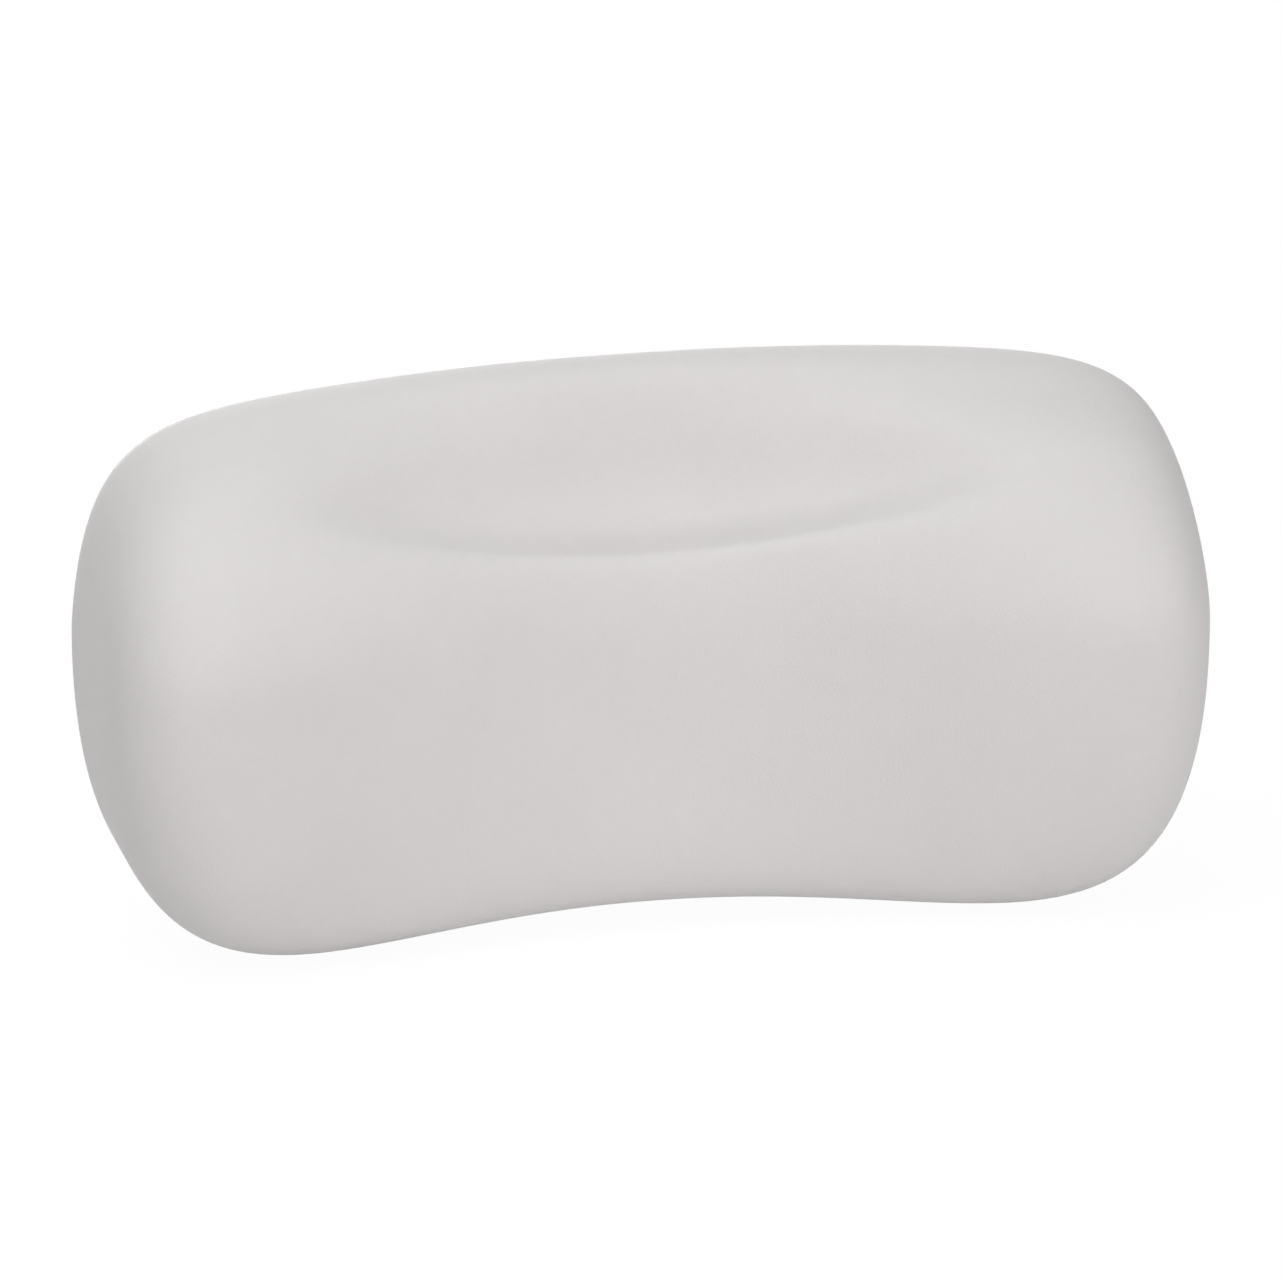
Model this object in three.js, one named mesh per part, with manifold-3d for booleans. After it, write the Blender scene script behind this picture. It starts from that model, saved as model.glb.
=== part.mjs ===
import * as THREE from 'three';
import { mergeVertices } from 'three/addons/utils/BufferGeometryUtils.js';
import Module from 'manifold-3d';

// Moulded bath pillow: a soft skin and a foam core over a rigid insert, held to the bath by two suction cups.
// Millimetres. X runs along the pillow, Y points to the bath's wall and Z points up.
// The origin lies midway between the two cups, on the wall that they stick to.

const wasm = await Module();
wasm.setup();

const gap = 0.3; // between pieces that touch
const overrun = 4; // how far a cut runs past what it cuts

// Pillow body. Its height and its depths without a further name are those at the middle of its length.
// Depths are measured forwards from the parting line between its front and its back,
// rises and drops from the line through the two cups.
const pillow = {
  length: 330,
  height: 159,
  endTopLift: 31,
  footDrop: 74,
  endFootDrop: 50,
  waistHeight: 9,
  footDepth: 50,
  middleDepth: 49,
  browDepth: 51,
  endFootDepth: 63,
  endMiddleDepth: 84,
  endBrowDepth: 77.5,
  endSweep: 18,
  backCrown: 10,
  standOff: 16,
};

// How square the pillow's curves are: 2 is an ellipse, more is squarer.
const roundness = {
  topEnds: 2.9,
  footEnds: 2.6,
  frontEnds: 4.7,
  backEnds: 6.0,
  upperSection: 2.2,
  lowerFront: 10,
  lowerBack: 4.5,
  topArch: 4.1,
  footArch: 2.3,
  spacing: 3.0,
};
const endBlendShare = 1.1; // share of the half length over which the middle's depths become the ends'

// Head dish, a bowl scooped out of the upper front along a line that points forwards and up.
// Its reach is measured along that line, and its low point and half sizes across it.
const dish = {
  floorReach: 45,
  fall: 29,
  halfWidth: 86,
  lowPoint: 15.6,
  frontHalf: 20.6,
  backHalf: 30,
  lipRadius: 4,
  brimRadius: 28,
  brimReach: 40,
  edgeBlend: 26,
};
const dishTilt = THREE.MathUtils.degToRad(42);
const dishWidthCurve = 1.7; // how quickly the dish shallows towards its two ends

const skin = { thickness: 2.5 };

// Rigid insert that is moulded into the foam. Its reach is measured from the bosses' walls.
const plate = {
  endReach: 16,
  sideReach: 12,
  thickness: 3,
  rimHeight: 5,
  rimThickness: 2.6,
  ribHeight: 4,
  ribThickness: 2.4,
  ribSpacing: 25,
  keyRadius: 6,
  gussetReach: 6,
  gussetHeight: 5,
  gussetThickness: 2.4,
};
const keysEachSide = 2;
const gussetsPerBoss = 4;

// Socket bosses, the retainer rings that close them and the rings' screws
const boss = { spacing: 170, wall: 6.7 };
const ring = { thickness: 3, proud: 0.4, chamfer: 0.8 };
const screw = {
  headRadius: 2.7,
  headHeight: 1.6,
  shankRadius: 1.4,
  length: 8.4,
  tip: 1.2,
  slotWidth: 0.8,
  slotDepth: 0.9,
  slotLength: 3.2,
  pilotPlay: 0.9,
};
const screwsPerRing = 3;

// Swivel bush on each cup's neck
const bush = { wall: 2.9, flangeReach: 2.3, flangeThickness: 3, proud: 0.6, waistPlay: 0.3, mouthPlay: 0.7 };

// Suction cup
const cup = {
  radius: 28,
  neckRadius: 4.5,
  headReach: 3,
  headThickness: 2.5,
  headRound: 0.8,
  play: 0.8,
  shoulderRadius: 9,
  shoulderHeight: 1.6,
  lip: 1.4,
  landWidth: 3.5,
  hollowDepth: 7.6,
  tabWidth: 11,
  tabReach: 9,
  tabThickness: 1.2,
  tabInset: 0.3,
};
const skirtCurve = 1.5; // how quickly the skirt's outside sweeps out to its lip
const hollowCurve = 2.0;

// Facets
const stations = 24;
const spans = [
  { turnShare: 1 / 4, rows: 4, pull: 1.5 }, // upper back
  { turnShare: 11 / 30, rows: 5, pull: 1 }, // top and dish
  { turnShare: 11 / 24, rows: 9, pull: 1 }, // lip of the dish
  { turnShare: 1 / 2, rows: 1, pull: 1 }, // waist
  { turnShare: 3 / 4, rows: 8, pull: 1.6 }, // lower front
  { turnShare: 1, rows: 5, pull: 1.3 }, // lower back
];
const roundSides = 36;
const smallSides = 16;
const screwSides = 12;
const skirtSteps = 7;
const arcSteps = 10;

// Places along Y, from the wall back to the inside of the pillow
const backFace = -pillow.standOff;
const partingLine = backFace - pillow.backCrown;
const ringFace = backFace + ring.proud;
const ringUnderside = ringFace - ring.thickness;
const bossTop = ringUnderside - gap;
const bushTop = ringFace + bush.proud;
const bushBottom = ringUnderside - gap - bush.flangeThickness;
const neckPivot = (bushTop + bushBottom) / 2;
const headTop = bushBottom - cup.play;
const headBottom = headTop - cup.headThickness;
const plateBack = headBottom - cup.play;
const plateFront = plateBack - plate.thickness;
const shoulder = bushTop + cup.play;
const pilotEnd = ringFace - screw.length - screw.pilotPlay;

// Radii round each cup's axis, from the neck outwards
const headRadius = cup.neckRadius + cup.headReach;
const sleeveRadius = cup.neckRadius + bush.waistPlay + bush.wall;
const ringBore = sleeveRadius + gap;
const flangeRadius = sleeveRadius + bush.flangeReach;
const socketRadius = flangeRadius + gap;
const bossRadius = socketRadius + boss.wall;
const screwCircle = (socketRadius + bossRadius) / 2;

const plateLength = boss.spacing + 2 * (bossRadius + plate.endReach);
const plateHeight = 2 * (bossRadius + plate.sideReach);
const keySpacing = (boss.spacing - 2 * bossRadius) / (2 * keysEachSide + 2);
const sides = { left: -boss.spacing / 2, right: boss.spacing / 2 };

const topRise = pillow.height - pillow.footDrop;

const lerp = THREE.MathUtils.lerp;
const smooth = (share) => THREE.MathUtils.smoothstep(share, 0, 1);

// Turns one closed geometry into a solid with shared corners and its faces pointing out.
function solidOf(geometry) {
  const bare = geometry.clone();
  bare.deleteAttribute('normal');
  bare.deleteAttribute('uv');
  const merged = mergeVertices(bare);
  const corners = merged.index.array;
  const faces = [];
  for (let i = 0; i < corners.length; i += 3) {
    const [a, b, c] = corners.slice(i, i + 3);
    if (a !== b && b !== c && c !== a) faces.push(a, b, c);
  }
  return closedSolid(merged.attributes.position.array, faces);
}

function closedSolid(points, faces) {
  let volume = 0;
  const [p, q, r] = [new THREE.Vector3(), new THREE.Vector3(), new THREE.Vector3()];
  for (let i = 0; i < faces.length; i += 3) {
    p.fromArray(points, faces[i] * 3);
    q.fromArray(points, faces[i + 1] * 3);
    r.fromArray(points, faces[i + 2] * 3);
    volume += p.dot(q.cross(r));
  }
  const turned = volume < 0 ? faces.toReversed() : faces;
  const mesh = { numProp: 3, vertProperties: Float32Array.from(points), triVerts: Uint32Array.from(turned) };
  return new wasm.Manifold(new wasm.Mesh(mesh));
}

// Turned piece about an axis along Y, from a profile of radius and depth pairs.
function turned(profile, around, x = 0, z = 0) {
  const outline = profile.map(([radius, depth]) => new THREE.Vector2(radius, depth));
  return solidOf(new THREE.LatheGeometry(outline, around).translate(x, 0, z));
}

function cylinder(radius, low, high, around, x = 0, z = 0) {
  return turned([[0, low], [radius, low], [radius, high], [0, high]], around, x, z);
}

// Flat piece with its outline in X and Z, between two depths along Y.
function slab(outline, low, high) {
  const options = { depth: high - low, bevelEnabled: false, curveSegments: arcSteps };
  const flat = new THREE.ExtrudeGeometry(outline, options);
  return solidOf(flat.rotateX(Math.PI / 2).translate(0, high, 0));
}

function box(width, depth, height, x, y, z) {
  return solidOf(new THREE.BoxGeometry(width, depth, height).translate(x, y, z));
}

function roundEndedOutline(length, height) {
  const radius = height / 2;
  const straight = length / 2 - radius;
  const outline = new THREE.Shape();
  outline.absarc(straight, 0, radius, -Math.PI / 2, Math.PI / 2);
  outline.absarc(-straight, 0, radius, Math.PI / 2, Math.PI * 1.5);
  return outline;
}

// Share of the full size that is left at this share of the half length.
function endFade(lengthShare, power) {
  return Math.max(0, 1 - Math.abs(lengthShare) ** power) ** (1 / power);
}

function roundedPoint(angle, power) {
  const across = Math.cos(angle);
  const along = Math.sin(angle);
  const reach = (Math.abs(across) ** power + Math.abs(along) ** power) ** (-1 / power);
  return [across * reach, along * reach];
}

// Smooth curve through a low, a middle and a high value.
function throughThree(share, low, middle, high) {
  const left = 1 - share;
  return low * left * (left - share) + middle * 4 * share * left + high * share * (share - left);
}

// One point of the pillow's surface: how far along its length, at which angle round its section.
function pillowPoint(lengthShare, angle, inset) {
  const end = Math.abs(lengthShare);
  const isTop = Math.sin(angle) > 0;
  const lowerSquareness = Math.cos(angle) > 0 ? roundness.lowerBack : roundness.lowerFront;
  const squareness = isTop ? roundness.upperSection : lowerSquareness;
  const [acrossShare, heightShare] = roundedPoint(angle, squareness);
  const girthShare = Math.abs(acrossShare);
  const x = (pillow.length / 2 - inset) * lengthShare;

  const rise = topRise - pillow.waistHeight + pillow.endTopLift * end ** roundness.topArch - inset;
  const drop = pillow.footDrop + pillow.waistHeight + pillow.endFootDrop * end ** roundness.footArch - inset;
  const reach = isTop ? rise * endFade(end, roundness.topEnds) : drop * endFade(end, roundness.footEnds);
  const z = pillow.waistHeight + reach * heightShare;

  const sweep = pillow.endSweep * end ** 2;
  if (acrossShare > 0) {
    const back = (pillow.backCrown - inset) * girthShare * endFade(end, roundness.backEnds);
    return [x, partingLine + back - sweep * (1 - girthShare), z];
  }
  const upShare = (heightShare + 1) / 2;
  const middle = throughThree(upShare, pillow.footDepth, pillow.middleDepth, pillow.browDepth);
  const atEnd = throughThree(upShare, pillow.endFootDepth, pillow.endMiddleDepth, pillow.endBrowDepth);
  const depth = lerp(middle, atEnd, smooth(end / endBlendShare)) - inset;
  const front = depth * girthShare * endFade(end, roundness.frontEnds);
  const [dishedFront, dishedHeight] = dished(x, front, z, inset);
  return [x, partingLine - dishedFront - sweep, dishedHeight];
}

// Sinks a point of the front into the head dish, whose lip is tight in front and whose brim is soft behind.
function dished(x, front, z, inset) {
  const [forwards, upwards] = [Math.cos(dishTilt), Math.sin(dishTilt)];
  const reach = front * forwards + z * upwards;
  const off = z * forwards - front * upwards - dish.lowPoint;
  const half = off < 0 ? dish.frontHalf : dish.backHalf;
  const spread = Math.abs(x / dish.halfWidth) ** dishWidthCurve + (off / half) ** 2;
  const bowl = dish.floorReach + dish.fall * spread - inset;
  const edgeRadius = lerp(dish.lipRadius, dish.brimRadius, smooth(off / dish.brimReach));
  const kept = (reach + bowl - Math.hypot(reach - bowl, edgeRadius)) / 2;
  const sunk = (kept - reach) * smooth((front + inset) / dish.edgeBlend);
  return [front + sunk * forwards, z + sunk * upwards];
}

// Angles round the pillow's section. Each span ends at a share of the full turn and has its own number
// of rows, drawn in towards its middle. The lip of the dish has the closest rows.
function sectionAngles() {
  const angles = [];
  let lastShare = 0;
  for (const { turnShare, rows, pull } of spans) {
    for (let i = 0; i < rows; i += 1) {
      const fromMiddle = (2 * i + 1) / rows - 1;
      const pulled = Math.sign(fromMiddle) * Math.abs(fromMiddle) ** pull;
      angles.push(2 * Math.PI * lerp(lastShare, turnShare, (1 + pulled) / 2));
    }
    lastShare = turnShare;
  }
  return angles;
}

// Shares of the half length at which the sections stand, closer together towards the ends.
function stationShares() {
  const shares = [];
  for (let i = 1; i < stations; i += 1) {
    const [, share] = roundedPoint(Math.PI * (i / stations - 1 / 2), roundness.spacing);
    shares.push(share);
  }
  return shares;
}

// Corners of the loft, section by section, and then its two tips. The inset moves the whole surface inwards.
function pillowCorners(inset) {
  const points = [];
  for (const share of stationShares()) {
    for (const angle of sectionAngles()) points.push(...pillowPoint(share, angle, inset));
  }
  points.push(...pillowPoint(-1, 0, inset), ...pillowPoint(1, 0, inset));
  return points;
}

// Facets of the loft. Each four-sided one is split along the diagonal that lies nearer to the true surface.
function pillowFacets() {
  const angles = sectionAngles();
  const shares = stationShares();
  const points = pillowCorners(0);
  const around = angles.length;
  const faces = [];
  const middleOf = (a, b) => {
    const other = new THREE.Vector3().fromArray(points, b * 3);
    return new THREE.Vector3().fromArray(points, a * 3).lerp(other, 1 / 2);
  };
  for (let i = 0; i < shares.length - 1; i += 1) {
    for (let j = 0; j < around; j += 1) {
      const next = (j + 1) % around;
      const nextAngle = next > j ? angles[next] : angles[next] + 2 * Math.PI;
      const [a, b] = [i * around + j, (i + 1) * around + j];
      const [c, d] = [(i + 1) * around + next, i * around + next];
      const onSurface = pillowPoint((shares[i] + shares[i + 1]) / 2, (angles[j] + nextAngle) / 2, 0);
      const middle = new THREE.Vector3(...onSurface);
      const isNearer = middleOf(a, c).distanceTo(middle) <= middleOf(b, d).distanceTo(middle);
      faces.push(...(isNearer ? [a, b, c, a, c, d] : [a, b, d, b, c, d]));
    }
  }
  const leftTip = shares.length * around;
  const lastRing = leftTip - around;
  for (let j = 0; j < around; j += 1) {
    const next = (j + 1) % around;
    faces.push(leftTip, j, next, leftTip + 1, lastRing + next, lastRing + j);
  }
  return faces;
}

function pillowSolid(inset) {
  return closedSolid(pillowCorners(inset), pillowFacets());
}

// The insert's outer form, grown all round by a clearance for the pocket that the foam leaves for it.
function insertForm(grow) {
  const panel = roundEndedOutline(plateLength + 2 * grow, plateHeight + 2 * grow);
  const rim = 2 * (plate.rimThickness + grow);
  const inner = roundEndedOutline(plateLength - rim, plateHeight - rim);
  const rimOutline = panel.clone();
  rimOutline.holes.push(inner);
  let form = slab(panel, plateFront - grow, plateBack + grow);
  form = form.add(slab(rimOutline, plateFront - plate.rimHeight - grow, plateFront));
  for (const side of [-1, 1]) {
    const z = (side * plate.ribSpacing) / 2;
    const ribTop = plateBack + plate.ribHeight + grow;
    const ribDepth = ribTop - plateFront;
    form = form.add(box(boss.spacing, ribDepth, plate.ribThickness + 2 * grow, 0, ribTop - ribDepth / 2, z));
  }
  for (const x of Object.values(sides)) {
    form = form.add(cylinder(bossRadius + grow, plateFront, bossTop + grow, roundSides, x));
    for (let i = 0; i < gussetsPerBoss; i += 1) {
      form = form.add(gusset(grow, Math.PI * ((2 * i + 1) / gussetsPerBoss)).translate(x, 0, 0));
    }
  }
  for (let i = -keysEachSide; i <= keysEachSide; i += 1) {
    const low = plateFront - plate.rimHeight - overrun;
    const key = cylinder(plate.keyRadius - grow, low, bossTop + overrun, smallSides, i * keySpacing);
    form = form.subtract(key);
  }
  return form;
}

// Triangular web between a boss and the panel, turned about the boss.
function gusset(grow, angle) {
  const slope = Math.hypot(plate.gussetReach, plate.gussetHeight);
  const reach = plate.gussetReach + (grow * slope) / plate.gussetHeight;
  const height = plate.gussetHeight + (grow * slope) / plate.gussetReach;
  const outline = new THREE.Shape();
  outline.moveTo(0, plateFront);
  outline.lineTo(bossRadius + reach, plateFront);
  outline.lineTo(bossRadius + reach, plateBack);
  outline.lineTo(bossRadius, plateBack + height);
  outline.lineTo(0, plateBack + height);
  const thickness = plate.gussetThickness + 2 * grow;
  const web = new THREE.ExtrudeGeometry(outline, { depth: thickness, bevelEnabled: false });
  return solidOf(web.translate(0, 0, -thickness / 2).rotateY(angle));
}

function screwPlaces(x) {
  const places = [];
  for (let i = 0; i < screwsPerRing; i += 1) {
    const angle = Math.PI * (1 / 2 + (2 * i) / screwsPerRing);
    places.push([x + screwCircle * Math.cos(angle), screwCircle * Math.sin(angle)]);
  }
  return places;
}

function backPlate() {
  let insert = insertForm(0);
  for (const x of Object.values(sides)) {
    insert = insert.subtract(cylinder(socketRadius, plateBack, bossTop + overrun, roundSides, x));
    for (const [holeX, holeZ] of screwPlaces(x)) {
      const pilot = screw.shankRadius + gap;
      insert = insert.subtract(cylinder(pilot, pilotEnd, bossTop + overrun, screwSides, holeX, holeZ));
    }
  }
  return insert;
}

// What the foam leaves free: the insert and the wells over its two bosses.
function insertPocket() {
  let pocket = insertForm(gap);
  for (const x of Object.values(sides)) {
    pocket = pocket.add(cylinder(bossRadius + gap, plateBack, backFace + overrun, roundSides, x));
  }
  return pocket;
}

function retainerRing(x) {
  const edge = ringFace - ring.chamfer;
  const profile = [
    [ringBore, ringUnderside],
    [bossRadius, ringUnderside],
    [bossRadius, edge],
    [bossRadius - ring.chamfer, ringFace],
    [ringBore, ringFace],
    [ringBore, ringUnderside],
  ];
  let body = turned(profile, roundSides, x);
  for (const [holeX, holeZ] of screwPlaces(x)) {
    const sink = screw.headRadius + gap;
    const hole = screw.shankRadius + gap;
    const seat = ringFace - screw.headHeight;
    const countersink = [
      [0, ringUnderside - overrun],
      [hole, ringUnderside - overrun],
      [hole, seat],
      [sink, ringFace],
      [sink, ringFace + overrun],
      [0, ringFace + overrun],
    ];
    body = body.subtract(turned(countersink, screwSides, holeX, holeZ));
  }
  return body;
}

function ringScrew(x, z) {
  const end = ringFace - screw.length;
  const profile = [
    [0, end],
    [screw.shankRadius / 2, end],
    [screw.shankRadius, end + screw.tip],
    [screw.shankRadius, ringFace - screw.headHeight],
    [screw.headRadius, ringFace],
    [0, ringFace],
  ];
  const blade = screw.slotDepth + overrun;
  const slotY = ringFace + overrun - blade / 2;
  const body = turned(profile, screwSides, x, z);
  return body
    .subtract(box(screw.slotLength, blade, screw.slotWidth, x, slotY, z))
    .subtract(box(screw.slotWidth, blade, screw.slotLength, x, slotY, z));
}

// The bore is waisted, so that the neck can lean in it.
function swivelBush(x) {
  const waist = cup.neckRadius + bush.waistPlay;
  const mouth = cup.neckRadius + bush.mouthPlay;
  const flangeTop = bushBottom + bush.flangeThickness;
  const profile = [
    [mouth, bushBottom],
    [flangeRadius, bushBottom],
    [flangeRadius, flangeTop],
    [sleeveRadius, flangeTop],
    [sleeveRadius, bushTop],
    [mouth, bushTop],
    [waist, neckPivot],
    [mouth, bushBottom],
  ];
  return turned(profile, roundSides, x);
}

// Mushroom head, neck, shoulder, a skirt that flares to the lip, a flat sealing land and the hollow.
function suctionCup(x) {
  const crown = shoulder + cup.shoulderHeight;
  const landInner = cup.radius - cup.landWidth;
  const profile = [
    [0, headBottom],
    [headRadius - cup.headRound, headBottom],
    [headRadius, headBottom + cup.headRound],
    [headRadius, headTop],
    [cup.neckRadius, headTop],
    [cup.neckRadius, shoulder],
    [cup.shoulderRadius, shoulder],
  ];
  for (let i = 0; i <= skirtSteps; i += 1) {
    const share = i / skirtSteps;
    const radius = lerp(cup.shoulderRadius, cup.radius, share);
    profile.push([radius, lerp(-cup.lip, crown, (1 - share) ** skirtCurve)]);
  }
  profile.push([cup.radius, 0]);
  for (let i = skirtSteps; i >= 0; i -= 1) {
    const share = i / skirtSteps;
    profile.push([landInner * share, -cup.hollowDepth * (1 - share ** hollowCurve)]);
  }
  const tab = new THREE.Shape();
  const tabHalf = cup.tabWidth / 2;
  const tabRoot = landInner + cup.landWidth / 2;
  const tabEnd = cup.radius + cup.tabReach - tabHalf;
  tab.moveTo(-tabHalf, -tabRoot);
  tab.lineTo(-tabHalf, -tabEnd);
  tab.absarc(0, -tabEnd, tabHalf, Math.PI, 2 * Math.PI);
  tab.lineTo(tabHalf, -tabRoot);
  const tabTop = -cup.tabInset;
  return turned(profile, roundSides, x).add(slab(tab, tabTop - cup.tabThickness, tabTop).translate(x, 0, 0));
}

function named(name, solid, look) {
  const { vertProperties, triVerts } = solid.getMesh();
  const geometry = new THREE.BufferGeometry();
  geometry.setAttribute('position', new THREE.BufferAttribute(vertProperties, 3));
  geometry.setIndex(new THREE.BufferAttribute(triVerts, 1));
  geometry.computeVertexNormals();
  const mesh = new THREE.Mesh(geometry, new THREE.MeshStandardMaterial(look));
  mesh.name = name;
  return mesh;
}

const looks = {
  skin: { color: 0xcfcccb, roughness: 0.55, metalness: 0 },
  foam: { color: 0xd8d4cc, roughness: 0.95, metalness: 0 },
  insert: { color: 0xe4e4e2, roughness: 0.5, metalness: 0 },
  ring: { color: 0xdcdcda, roughness: 0.4, metalness: 0 },
  screw: { color: 0xb4b6b8, roughness: 0.3, metalness: 1 },
  bush: { color: 0xf0f0ee, roughness: 0.35, metalness: 0 },
  cup: { color: 0xdfe6e8, roughness: 0.15, metalness: 0 },
};

const bathPillow = new THREE.Group();
const pocket = insertPocket();
const skinHollow = pillowSolid(skin.thickness);
bathPillow.add(
  named('outer_skin', pillowSolid(0).subtract(skinHollow).subtract(pocket), looks.skin),
  named('foam_core', pillowSolid(skin.thickness + gap).subtract(pocket), looks.foam),
  named('back_plate', backPlate(), looks.insert),
);
for (const [side, x] of Object.entries(sides)) {
  bathPillow.add(named(`retainer_ring_${side}`, retainerRing(x), looks.ring));
  screwPlaces(x).forEach(([screwX, screwZ], i) => {
    bathPillow.add(named(`ring_screw_${side}_${i + 1}`, ringScrew(screwX, screwZ), looks.screw));
  });
  bathPillow.add(named(`swivel_bush_${side}`, swivelBush(x), looks.bush));
  bathPillow.add(named(`suction_cup_${side}`, suctionCup(x), looks.cup));
}

export default bathPillow;
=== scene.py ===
import math

import bmesh
import bpy
from mathutils import Matrix, Vector


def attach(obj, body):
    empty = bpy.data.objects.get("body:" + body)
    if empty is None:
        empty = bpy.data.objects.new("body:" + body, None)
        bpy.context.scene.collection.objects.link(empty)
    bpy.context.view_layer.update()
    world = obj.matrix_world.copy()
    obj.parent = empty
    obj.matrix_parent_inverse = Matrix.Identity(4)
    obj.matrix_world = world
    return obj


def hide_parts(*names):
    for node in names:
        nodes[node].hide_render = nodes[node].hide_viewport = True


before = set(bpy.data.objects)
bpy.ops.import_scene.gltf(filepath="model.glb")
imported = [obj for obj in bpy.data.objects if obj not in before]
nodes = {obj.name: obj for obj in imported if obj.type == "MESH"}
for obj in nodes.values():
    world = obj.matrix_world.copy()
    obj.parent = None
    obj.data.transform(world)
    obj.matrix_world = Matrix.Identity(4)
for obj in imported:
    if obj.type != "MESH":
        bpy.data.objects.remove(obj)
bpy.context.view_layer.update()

mm = 0.001

# The moulded body, in millimetres, after the CAD loft: heights and depths at the middle, and what the ends add
body = {
    "length": 330, "topRise": 85, "endTopLift": 31, "footDrop": 72.3, "endFootDrop": 51, "waistHeight": 9,
    "footDepth": 50, "middleDepth": 49, "browDepth": 51, "endFootDepth": 63, "endMiddleDepth": 84,
    "endBrowDepth": 77.5, "endSweep": 18, "backCrown": 10, "standOff": 16,
}
# How square its curves are, and how the middle becomes the ends
curves = {
    "topEnds": 2.9, "footEnds": 2.6, "frontEnds": 4.7, "backEnds": 6.0, "upperBack": 2.2, "upperFront": 2.2,
    "endUpperFront": 1.9, "lowerFront": 10, "endLowerFront": 4.5, "lowerBack": 7, "cornerBlend": 4, "topArch": 4.1,
    "footArch": 2.3, "spacing": 3.0, "endBlend": 1.1,
}
# The head dish, scooped out along a line that points forwards and up
dish = {
    "tilt": 42, "floorReach": 45, "fall": 29, "halfWidth": 96, "widthCurve": 1.9, "lowPoint": 15.6,
    "frontHalf": 24, "backHalf": 30, "lipRadius": 7, "brimRadius": 28, "brimReach": 40, "edgeBlend": 26,
}
# The wells over the insert's two sockets: rim sizes as radius and depth below the back face
well = {"spacing": 170, "clearing": 21.5, "nearBack": 3, "depth": 10.3, "floorRadius": 16,
        "rim": [(19.4, 0), (18.5, 0.1), (17.8, 0.4), (17.4, 1.0), (17.3, 2)]}
# How many faces the body has along its length, depth and height before it is smoothed
grid = (88, 36, 68)
backFace = -body["standOff"]
partingLine = backFace - body["backCrown"]


def lerp(a, b, t):
    return a + (b - a) * t


def smooth(t):
    t = min(1, max(0, t))
    return t * t * (3 - 2 * t)


def endFade(share, power):
    return max(0, 1 - abs(share) ** power) ** (1 / power)


def roundedPoint(angle, power):
    across, along = math.cos(angle), math.sin(angle)
    reach = (abs(across) ** power + abs(along) ** power) ** (-1 / power)
    return across * reach, along * reach


def throughThree(t, low, middle, high):
    return low * (1 - t) * (1 - 2 * t) + middle * 4 * t * (1 - t) + high * t * (2 * t - 1)


def dished(x, front, z):
    # Height along the dish's own direction, cut down to a bowl with a tight lip and a soft brim behind
    tilt = math.radians(dish["tilt"])
    height = front * math.cos(tilt) + z * math.sin(tilt)
    off = z * math.cos(tilt) - front * math.sin(tilt) - dish["lowPoint"]
    half = dish["frontHalf"] if off < 0 else dish["backHalf"]
    spread = abs(x / dish["halfWidth"]) ** dish["widthCurve"] + (off / half) ** 2
    bowl = dish["floorReach"] + dish["fall"] * spread
    edgeRadius = lerp(dish["lipRadius"], dish["brimRadius"], smooth(off / dish["brimReach"]))
    kept = (height + bowl - math.hypot(height - bowl, edgeRadius)) / 2
    sunk = (kept - height) * smooth(front / dish["edgeBlend"])
    return front + sunk * math.cos(tilt), z + sunk * math.sin(tilt)


def pillowPoint(lengthShare, angle):
    end = abs(lengthShare)
    isTop = math.sin(angle) > 0
    level = "upper" if isTop else "lower"
    power = curves[level + "Back"]
    if math.cos(angle) < 0:
        power = lerp(curves[level + "Front"], curves["end" + level.title() + "Front"], end ** curves["cornerBlend"])
    across, height = roundedPoint(angle, power)
    girth = abs(across)
    x = body["length"] / 2 * lengthShare
    rise = body["topRise"] - body["waistHeight"] + body["endTopLift"] * end ** curves["topArch"]
    drop = body["footDrop"] + body["waistHeight"] + body["endFootDrop"] * end ** curves["footArch"]
    reach = rise * endFade(end, curves["topEnds"]) if isTop else drop * endFade(end, curves["footEnds"])
    z = body["waistHeight"] + reach * height
    sweep = body["endSweep"] * end ** 2
    if across > 0:
        crown = body["backCrown"] * girth * endFade(end, curves["backEnds"])
        return Vector((x, partingLine + crown - sweep * (1 - girth), z))
    up = (height + 1) / 2
    atMiddle = throughThree(up, body["footDepth"], body["middleDepth"], body["browDepth"])
    atEnd = throughThree(up, body["endFootDepth"], body["endMiddleDepth"], body["endBrowDepth"])
    front = lerp(atMiddle, atEnd, smooth(end / curves["endBlend"])) * girth * endFade(end, curves["frontEnds"])
    front, z = dished(x, front, z)
    return Vector((x, partingLine - front - sweep, z))


def splitAlong(bm, axis, parts):
    edges = [e for e in bm.edges if abs((e.verts[0].co - e.verts[1].co)[axis]) > 1e-6]
    bmesh.ops.subdivide_edges(bm, edges=edges, cuts=parts - 1, use_grid_fill=True)


def meshObject(name, bm):
    bmesh.ops.recalc_face_normals(bm, faces=bm.faces)
    mesh = bpy.data.meshes.new(name)
    bm.to_mesh(mesh)
    bm.free()
    for face in mesh.polygons:
        face.use_smooth = True
    piece = bpy.data.objects.new(name, mesh)
    bpy.context.collection.objects.link(piece)
    return piece


# A box of quads becomes the pillow: each corner's direction picks a station and an angle round the section.
def mould(bm):
    for vert in bm.verts:
        direction = Vector([math.tan(c * math.pi / 4) for c in vert.co]).normalized()
        latitude = math.asin(max(-1, min(1, direction.x)))
        lengthShare = roundedPoint(latitude, curves["spacing"])[1]
        vert.co = pillowPoint(lengthShare, math.atan2(direction.z, direction.y)) * mm


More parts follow.
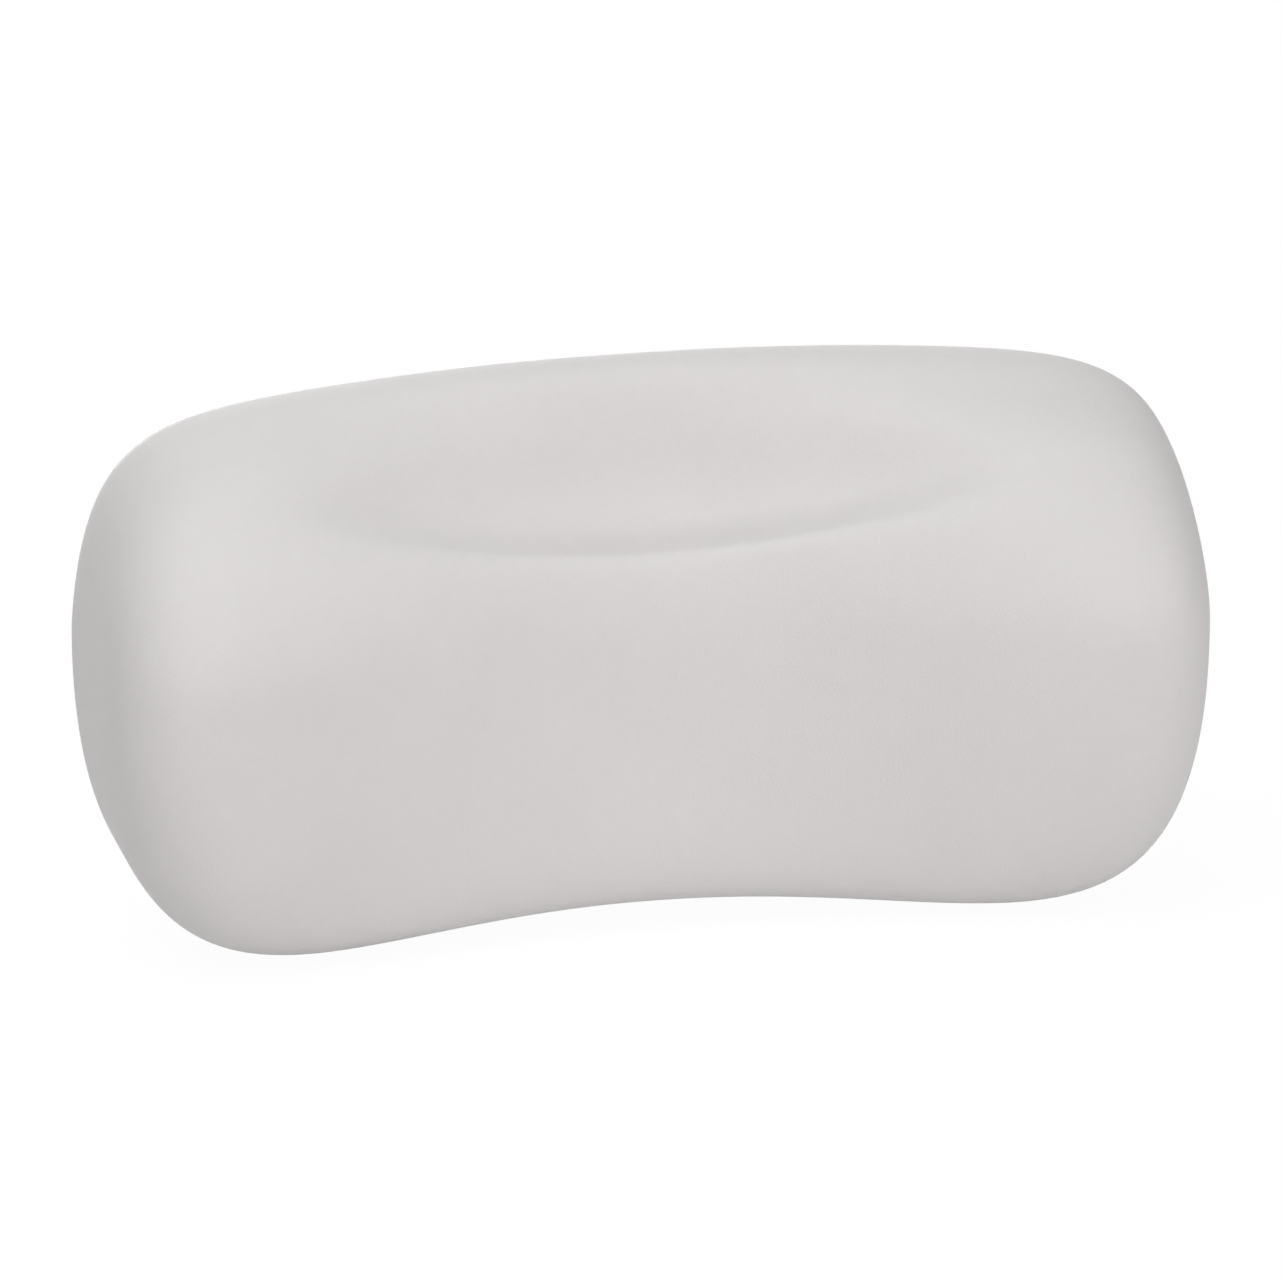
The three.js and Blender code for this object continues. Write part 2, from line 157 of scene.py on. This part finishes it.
# The quads over a socket give way to a round mouth, which is drawn down to the well's floor.
def sinkWell(bm, x):
    centre = Vector((x, backFace, 0)) * mm
    aboutCentre = Matrix.Translation(-centre)

    def overSocket(face):
        away = face.calc_center_median() - centre
        return abs(away.y) < well["nearBack"] * mm and away.length < well["clearing"] * mm

    bmesh.ops.delete(bm, geom=[f for f in bm.faces if overSocket(f)], context="FACES")
    border = [e for e in bm.edges if e.is_boundary]
    radius = well["rim"][0][0]
    lying = Matrix.Translation(centre) @ Matrix.Rotation(math.pi / 2, 4, "X")
    mouth = set(bmesh.ops.create_circle(bm, segments=len(border), radius=radius * mm, matrix=lying)["verts"])
    loop = [e for e in bm.edges if mouth.issuperset(e.verts)]
    bmesh.ops.bridge_loops(bm, edges=border + loop)
    floor = backFace - well["depth"]
    steps = [(r, backFace - d) for r, d in well["rim"][1:]]
    steps += [(well["rim"][-1][0], floor), (well["floorRadius"], floor)]
    lastY = backFace
    for nextRadius, y in steps:
        made = bmesh.ops.extrude_edge_only(bm, edges=loop)["geom"]
        verts = [g for g in made if isinstance(g, bmesh.types.BMVert)]
        loop = [g for g in made if isinstance(g, bmesh.types.BMEdge) and all(v in verts for v in g.verts)]
        share = nextRadius / radius
        bmesh.ops.scale(bm, vec=(share, 1, share), space=aboutCentre, verts=verts)
        bmesh.ops.translate(bm, vec=(0, (y - lastY) * mm, 0), verts=verts)
        radius, lastY = nextRadius, y
    bmesh.ops.contextual_create(bm, geom=loop)


bm = bmesh.new()
bmesh.ops.create_cube(bm, size=2)
for axis, parts in enumerate(grid):
    splitAlong(bm, axis, parts)
mould(bm)
bmesh.ops.recalc_face_normals(bm, faces=bm.faces)
for side in (-1, 1):
    sinkWell(bm, side * well["spacing"] / 2)
pillow = meshObject("moulded_pillow", bm)
finer = pillow.modifiers.new("finer skin", "SUBSURF")
finer.levels = finer.render_levels = 1
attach(pillow, "pillow")
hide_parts("outer_skin", "foam_core")
print("pillow", len(pillow.data.polygons), "faces")


def newGroup(name, inputs, outputs):
    tree = bpy.data.node_groups.new(name, "ShaderNodeTree")
    for label, kind, value in inputs:
        tree.interface.new_socket(label, in_out="INPUT", socket_type=kind).default_value = value
    for label, kind in outputs:
        tree.interface.new_socket(label, in_out="OUTPUT", socket_type=kind)
    return tree, tree.nodes.new("NodeGroupInput"), tree.nodes.new("NodeGroupOutput")


def addNode(tree, kind, settings=None, **values):
    node = tree.nodes.new(kind)
    for key, value in (settings or {}).items():
        setattr(node, key, value)
    for key, value in values.items():
        socket = node.inputs[key]
        if isinstance(value, bpy.types.NodeSocket):
            tree.links.new(value, socket)
        else:
            socket.default_value = value
    return node


def operate(tree, operation, *values):
    node = tree.nodes.new("ShaderNodeMath")
    node.operation = operation
    for socket, value in zip(node.inputs, values):
        if isinstance(value, bpy.types.NodeSocket):
            tree.links.new(value, socket)
        else:
            socket.default_value = value
    return node.outputs[0]


# Sizes of the grain: how far and how often its furrows wander, how wide they are, and how deep the pores
creases = {"wanderScale": 260, "wander": 0.0016, "furrow": 0.35, "poreScale": 2600, "pores": 0.35}

# Fine creased grain, as a mould leaves it: flat cells with soft furrows between them.
grain, into, out = newGroup(
    "creased grain",
    [("Cells per metre", "NodeSocketFloat", 800), ("Depth", "NodeSocketFloat", 0.00004)],
    [("Normal", "NodeSocketVector")],
)
place = addNode(grain, "ShaderNodeTexCoord").outputs["Object"]
wander = addNode(grain, "ShaderNodeTexNoise", Vector=place, Scale=creases["wanderScale"], Detail=2)
pushed = addNode(grain, "ShaderNodeVectorMath", {"operation": "SCALE"})
grain.links.new(wander.outputs["Color"], pushed.inputs[0])
pushed.inputs["Scale"].default_value = creases["wander"]
moved = addNode(grain, "ShaderNodeVectorMath", {"operation": "ADD"})
grain.links.new(place, moved.inputs[0])
grain.links.new(pushed.outputs[0], moved.inputs[1])
cells = addNode(grain, "ShaderNodeTexVoronoi", {"feature": "DISTANCE_TO_EDGE"}, Vector=moved.outputs[0],
                Scale=into.outputs["Cells per metre"])
flat = addNode(grain, "ShaderNodeMapRange", {"interpolation_type": "SMOOTHSTEP"}, Value=cells.outputs["Distance"])
flat.inputs["From Max"].default_value = creases["furrow"]
pores = addNode(grain, "ShaderNodeTexNoise", Vector=place, Scale=creases["poreScale"], Detail=3)
height = operate(grain, "MULTIPLY_ADD", pores.outputs["Fac"], creases["pores"], flat.outputs["Result"])
bump = addNode(grain, "ShaderNodeBump", Height=height, Distance=into.outputs["Depth"])
grain.links.new(bump.outputs[0], out.inputs["Normal"])

# Even, very fine roughness of a spark-eroded mould
sparkle, into, out = newGroup(
    "eroded finish",
    [("Grains per metre", "NodeSocketFloat", 2500), ("Depth", "NodeSocketFloat", 0.00001)],
    [("Normal", "NodeSocketVector")],
)
place = addNode(sparkle, "ShaderNodeTexCoord").outputs["Object"]
grains = addNode(sparkle, "ShaderNodeTexNoise", Vector=place, Scale=into.outputs["Grains per metre"], Detail=4)
bump = addNode(sparkle, "ShaderNodeBump", Height=grains.outputs["Fac"], Distance=into.outputs["Depth"])
sparkle.links.new(bump.outputs[0], out.inputs["Normal"])

# Slow changes of tone and gloss over a moulded surface
mottle, into, out = newGroup(
    "mottle",
    [("Colour", "NodeSocketColor", (1, 1, 1, 1)), ("Patches per metre", "NodeSocketFloat", 40),
     ("Tone", "NodeSocketFloat", 0.03), ("Roughness", "NodeSocketFloat", 0.5),
     ("Gloss change", "NodeSocketFloat", 0.06)],
    [("Colour", "NodeSocketColor"), ("Roughness", "NodeSocketFloat")],
)
place = addNode(mottle, "ShaderNodeTexCoord").outputs["Object"]
patches = addNode(mottle, "ShaderNodeTexNoise", Vector=place, Scale=into.outputs["Patches per metre"], Detail=4)
offCentre = operate(mottle, "SUBTRACT", patches.outputs["Fac"], 0.5)
tone = operate(mottle, "MULTIPLY_ADD", offCentre, into.outputs["Tone"], 1.0)
shaded = addNode(mottle, "ShaderNodeVectorMath", {"operation": "SCALE"})
mottle.links.new(into.outputs["Colour"], shaded.inputs[0])
mottle.links.new(tone, shaded.inputs["Scale"])
mottle.links.new(shaded.outputs[0], out.inputs["Colour"])
rough = operate(mottle, "MULTIPLY_ADD", offCentre, into.outputs["Gloss change"], into.outputs["Roughness"])
mottle.links.new(rough, out.inputs["Roughness"])


def newMaterial(name, colour, roughness, **sockets):
    material = bpy.data.materials.new(name)
    material.use_nodes = True
    shader = material.node_tree.nodes["Principled BSDF"]
    shader.inputs["Base Color"].default_value = (*colour, 1)
    shader.inputs["Roughness"].default_value = roughness
    for key, value in sockets.items():
        shader.inputs[key.replace("_", " ")].default_value = value
    return material, material.node_tree, shader


# Adds the slow changes, and one of the two fine finishes, to a plain material.
def finish(tree, shader, patches, tone, glossChange, relief, depth, size):
    changes = addNode(tree, "ShaderNodeGroup", {"node_tree": mottle})
    changes.inputs["Colour"].default_value = shader.inputs["Base Color"].default_value
    changes.inputs["Roughness"].default_value = shader.inputs["Roughness"].default_value
    changes.inputs["Patches per metre"].default_value = patches
    changes.inputs["Tone"].default_value = tone
    changes.inputs["Gloss change"].default_value = glossChange
    tree.links.new(changes.outputs["Colour"], shader.inputs["Base Color"])
    tree.links.new(changes.outputs["Roughness"], shader.inputs["Roughness"])
    surface = addNode(tree, "ShaderNodeGroup", {"node_tree": relief})
    surface.inputs[0].default_value = size
    surface.inputs["Depth"].default_value = depth
    tree.links.new(surface.outputs["Normal"], shader.inputs["Normal"])


looks = {
    "skin": {"colour": (0.636, 0.613, 0.606), "roughness": 0.55, "Specular_IOR_Level": 0.3, "Subsurface_Weight": 0.4,
             "Subsurface_Scale": 0.002, "Subsurface_Radius": (1.0, 0.95, 0.9)},
    "insert": {"colour": (0.74, 0.74, 0.73), "roughness": 0.42},
    "ring": {"colour": (0.70, 0.70, 0.69), "roughness": 0.36},
    "screw": {"colour": (0.62, 0.62, 0.63), "roughness": 0.3, "Metallic": 1.0},
    "bush": {"colour": (0.84, 0.84, 0.82), "roughness": 0.28, "Subsurface_Weight": 0.15, "Subsurface_Scale": 0.001},
    "cup": {"colour": (0.94, 0.965, 0.975), "roughness": 0.12, "Transmission_Weight": 0.88, "IOR": 1.5},
}
finishes = {
    "skin": {"patches": 34, "tone": 0.05, "glossChange": 0.12, "relief": grain, "depth": 0.00004, "size": 820},
    "insert": {"patches": 90, "tone": 0.03, "glossChange": 0.08, "relief": sparkle, "depth": 0.000014, "size": 2600},
    "ring": {"patches": 160, "tone": 0.03, "glossChange": 0.08, "relief": sparkle, "depth": 0.000012, "size": 3000},
    "screw": {"patches": 900, "tone": 0.12, "glossChange": 0.3, "relief": sparkle, "depth": 0.000006, "size": 5200},
    "bush": {"patches": 220, "tone": 0.02, "glossChange": 0.1, "relief": sparkle, "depth": 0.000004, "size": 1800},
    "cup": {"patches": 120, "tone": 0.02, "glossChange": 0.14, "relief": sparkle, "depth": 0.00006, "size": 160},
}
materials = {}
for name, look in looks.items():
    materials[name], tree, shader = newMaterial(f"{name} look", **look)
    finish(tree, shader, **finishes[name])

pillow.data.materials.append(materials["skin"])
carried = {"back_plate": "insert", "retainer_ring": "ring", "ring_screw": "screw", "swivel_bush": "bush",
           "suction_cup": "cup"}
for name, node in nodes.items():
    for stem, look in carried.items():
        if name.startswith(stem):
            node.data.materials.clear()
            node.data.materials.append(materials[look])
print("materials", len(materials))

# The world lights the object softly, but it and the floor show white, straight, mirrored or through a clear piece.
studio = {"worldLight": 0.14, "worldSeen": 1.0, "floorHeight": -0.0795, "floorHalf": 6, "floorGrey": 0.8,
          "floorGlow": 1.02, "floorWhite": 0.94}
middle = Vector((0, -0.05, 0))


def seenWhite(tree, dim, bright):
    path = tree.nodes.new("ShaderNodeLightPath")
    seen = operate(tree, "MAXIMUM", path.outputs["Is Camera Ray"], path.outputs["Is Glossy Ray"])
    seen = operate(tree, "MAXIMUM", seen, path.outputs["Is Transmission Ray"])
    return addNode(tree, "ShaderNodeMapRange", Value=seen, **{"To Min": dim, "To Max": bright}).outputs["Result"]


world = bpy.data.worlds.new("studio")
bpy.context.scene.world = world
world.use_nodes = True
background = world.node_tree.nodes["Background"]
background.inputs["Color"].default_value = (1, 1, 1, 1)
strength = seenWhite(world.node_tree, studio["worldLight"], studio["worldSeen"])
world.node_tree.links.new(strength, background.inputs["Strength"])


def softbox(name, azimuth, elevation, power, colour=(1, 1, 1), away=1.8, side=1.0):
    lamp = bpy.data.lights.new(name, "AREA")
    lamp.color = colour
    lamp.shape = "SQUARE"
    lamp.size = side
    lamp.energy = power
    turn, lift = math.radians(azimuth), math.radians(elevation)
    outwards = Vector((math.sin(turn) * math.cos(lift), -math.cos(turn) * math.cos(lift), math.sin(lift)))
    holder = bpy.data.objects.new(name, lamp)
    holder.location = middle + away * outwards
    holder.rotation_euler = (-outwards).to_track_quat("-Z", "Y").to_euler()
    bpy.context.collection.objects.link(holder)


floorMesh = bpy.data.meshes.new("floor")
corners = [(x * studio["floorHalf"], y * studio["floorHalf"], 0) for x, y in ((-1, -1), (1, -1), (1, 1), (-1, 1))]
floorMesh.from_pydata(corners, [], [(0, 1, 2, 3)])
floor = bpy.data.objects.new("floor", floorMesh)
floor.location = (0, 0, studio["floorHeight"])
bpy.context.collection.objects.link(floor)
floorLook, tree, shader = newMaterial("pale floor", [studio["floorGrey"]] * 3, 0.9)
glow = tree.nodes.new("ShaderNodeEmission")
glow.inputs["Strength"].default_value = studio["floorGlow"]
whiter = tree.nodes.new("ShaderNodeMixShader")
tree.links.new(seenWhite(tree, 0.0, studio["floorWhite"]), whiter.inputs[0])
tree.links.new(shader.outputs[0], whiter.inputs[1])
tree.links.new(glow.outputs[0], whiter.inputs[2])
tree.links.new(whiter.outputs[0], tree.nodes["Material Output"].inputs["Surface"])
floorMesh.materials.append(floorLook)

lamps = {
    "high light": {"azimuth": 0, "elevation": 60, "power": 1.7, "colour": (0.94, 1.0, 1.05)},
    "front light": {"azimuth": 0, "elevation": 8, "power": 12.0},
    "left light": {"azimuth": -50, "elevation": 50, "power": 8.7},
    "high left light": {"azimuth": -50, "elevation": 75, "power": 6.9, "colour": (0.97, 1.0, 1.02)},
    "far left light": {"azimuth": -100, "elevation": 40, "power": 3.1},
    "right light": {"azimuth": 50, "elevation": 20, "power": 7.6},
    "rear light": {"azimuth": 180, "elevation": 60, "power": 5.2},
    "low rear light": {"azimuth": 180, "elevation": 10, "power": 9.0},
}
for name, lamp in lamps.items():
    softbox(name, **lamp)

# The view of the photograph: angles in degrees, distance in metres, and the frame's shift in its own pixels
shot = {"azimuth": -10.69, "elevation": 17.62, "roll": -0.79, "distance": 6.634, "pixelsPerMetre": 3403,
        "imageWidth": 1282, "aim": (0, -0.056, 0), "shiftRight": -3.5, "shiftUp": 18.7, "sensorWidth": 36}
camera = bpy.data.objects.new("camera", bpy.data.cameras.new("camera"))
bpy.context.collection.objects.link(camera)
bpy.context.scene.camera = camera
turn, lift = math.radians(shot["azimuth"]), math.radians(shot["elevation"])
forward = Vector((-math.sin(turn) * math.cos(lift), math.cos(turn) * math.cos(lift), -math.sin(lift)))
right = Vector((math.cos(turn), math.sin(turn), 0))
shift = right * shot["shiftRight"] + right.cross(forward) * shot["shiftUp"]
target = Vector(shot["aim"]) + shift / shot["pixelsPerMetre"]
camera.location = target - forward * shot["distance"]
camera.rotation_euler = forward.to_track_quat("-Z", "Y").to_euler()
camera.rotation_euler.rotate_axis("Z", math.radians(shot["roll"]))
camera.data.sensor_width = shot["sensorWidth"]
camera.data.lens = shot["pixelsPerMetre"] * shot["distance"] / shot["imageWidth"] * shot["sensorWidth"]
camera.data.clip_end = 50

view = bpy.context.scene.view_settings
view.view_transform = "Standard"
print("stage")
